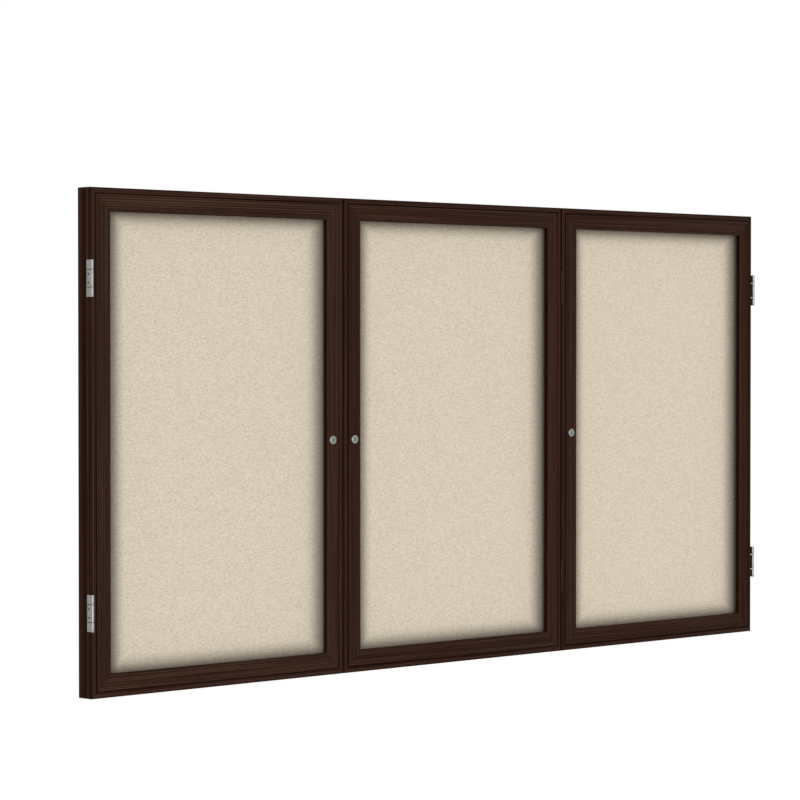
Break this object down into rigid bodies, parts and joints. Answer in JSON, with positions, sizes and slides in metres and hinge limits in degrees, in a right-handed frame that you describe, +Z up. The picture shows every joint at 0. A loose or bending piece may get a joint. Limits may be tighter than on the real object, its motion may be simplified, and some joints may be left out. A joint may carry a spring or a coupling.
{
  "type": "lockable notice board",
  "caption": "Wall-hung walnut notice board: a fabric tack board in a shallow case, behind side-hinged glazed doors with cam locks.",
  "frame": {"origin": "middle of the flat back, where the board lies on the wall", "axes": "+X to the right as seen from the front, +Y into the wall (the front faces -Y), +Z up"},
  "size_m": [2.4474, 0.0601, 1.2192],
  "materials": {
    "walnut_wood": "dark walnut stain, satin, fine straight grain",
    "tack_fabric": "woven beige tack fabric with fine flecks",
    "fibreboard": "soft fibreboard",
    "hardboard": "brown hardboard, smooth outside",
    "clear_pane": "clear, polished",
    "gasket_vinyl": "dark matt glazing strip",
    "satin_steel": "satin nickel-plated steel",
    "bronzed_steel": "dark bronzed, to match the wood",
    "zinc_lock": "plated lock metal, fine satin"
  },
  "bodies": {
    "case": {"case_top_rail": "walnut_wood", "case_bottom_rail": "walnut_wood", "case_left_stile": "walnut_wood", "case_right_stile": "walnut_wood", "mullion_left": "walnut_wood", "mullion_right": "walnut_wood", "back_panel": "hardboard", "tack_core": "fibreboard", "tack_fabric": "tack_fabric", "left_upper_hinge_case_leaf": "satin_steel", "left_upper_hinge_pin": "satin_steel", "left_lower_hinge_case_leaf": "satin_steel", "left_lower_hinge_pin": "satin_steel", "left_lock_strike": "zinc_lock", "centre_upper_hinge_case_leaf": "bronzed_steel", "centre_upper_hinge_pin": "bronzed_steel", "centre_lower_hinge_case_leaf": "bronzed_steel", "centre_lower_hinge_pin": "bronzed_steel", "centre_lock_strike": "zinc_lock", "right_upper_hinge_case_leaf": "satin_steel", "right_upper_hinge_pin": "satin_steel", "right_lower_hinge_case_leaf": "satin_steel", "right_lower_hinge_pin": "satin_steel", "right_lock_strike": "zinc_lock"},
    "left_door": {"left_door_top_rail": "walnut_wood", "left_door_bottom_rail": "walnut_wood", "left_door_hinge_stile": "walnut_wood", "left_door_lock_stile": "walnut_wood", "left_door_gasket": "gasket_vinyl", "left_door_glazing": "clear_pane", "left_upper_hinge_door_leaf": "satin_steel", "left_lower_hinge_door_leaf": "satin_steel", "left_lock_housing": "zinc_lock", "left_lock_nut": "zinc_lock"},
    "left_lock": {"left_lock_plug": "zinc_lock", "left_lock_cam": "zinc_lock"},
    "centre_door": {"centre_door_top_rail": "walnut_wood", "centre_door_bottom_rail": "walnut_wood", "centre_door_hinge_stile": "walnut_wood", "centre_door_lock_stile": "walnut_wood", "centre_door_gasket": "gasket_vinyl", "centre_door_glazing": "clear_pane", "centre_upper_hinge_door_leaf": "bronzed_steel", "centre_lower_hinge_door_leaf": "bronzed_steel", "centre_lock_housing": "zinc_lock", "centre_lock_nut": "zinc_lock"},
    "centre_lock": {"centre_lock_plug": "zinc_lock", "centre_lock_cam": "zinc_lock"},
    "right_door": {"right_door_top_rail": "walnut_wood", "right_door_bottom_rail": "walnut_wood", "right_door_hinge_stile": "walnut_wood", "right_door_lock_stile": "walnut_wood", "right_door_gasket": "gasket_vinyl", "right_door_glazing": "clear_pane", "right_upper_hinge_door_leaf": "satin_steel", "right_lower_hinge_door_leaf": "satin_steel", "right_lock_housing": "zinc_lock", "right_lock_nut": "zinc_lock"},
    "right_lock": {"right_lock_plug": "zinc_lock", "right_lock_cam": "zinc_lock"}
  },
  "joints": [
    {"name": "left_door_hinge", "type": "hinge", "parent": "case", "child": "left_door", "pos_m": [-1.2202, -0.0566, 0], "axis": [0, 0, -1], "range_deg": [0, 180]},
    {"name": "left_lock_turn", "type": "hinge", "parent": "left_door", "child": "left_lock", "pos_m": [-0.4449, -0.052, -0.009], "axis": [0, -1, 0], "range_deg": [0, 90]},
    {"name": "centre_door_hinge", "type": "hinge", "parent": "case", "child": "centre_door", "pos_m": [0.4052, -0.05228, 0], "axis": [0, 0, 1], "range_deg": [0, 90]},
    {"name": "centre_lock_turn", "type": "hinge", "parent": "centre_door", "child": "centre_lock", "pos_m": [-0.3689, -0.052, -0.009], "axis": [0, 1, 0], "range_deg": [0, 90]},
    {"name": "right_door_hinge", "type": "hinge", "parent": "case", "child": "right_door", "pos_m": [1.2202, -0.0566, 0], "axis": [0, 0, 1], "range_deg": [0, 180]},
    {"name": "right_lock_turn", "type": "hinge", "parent": "right_door", "child": "right_lock", "pos_m": [0.4449, -0.052, -0.009], "axis": [0, 1, 0], "range_deg": [0, 90]}
  ]
}
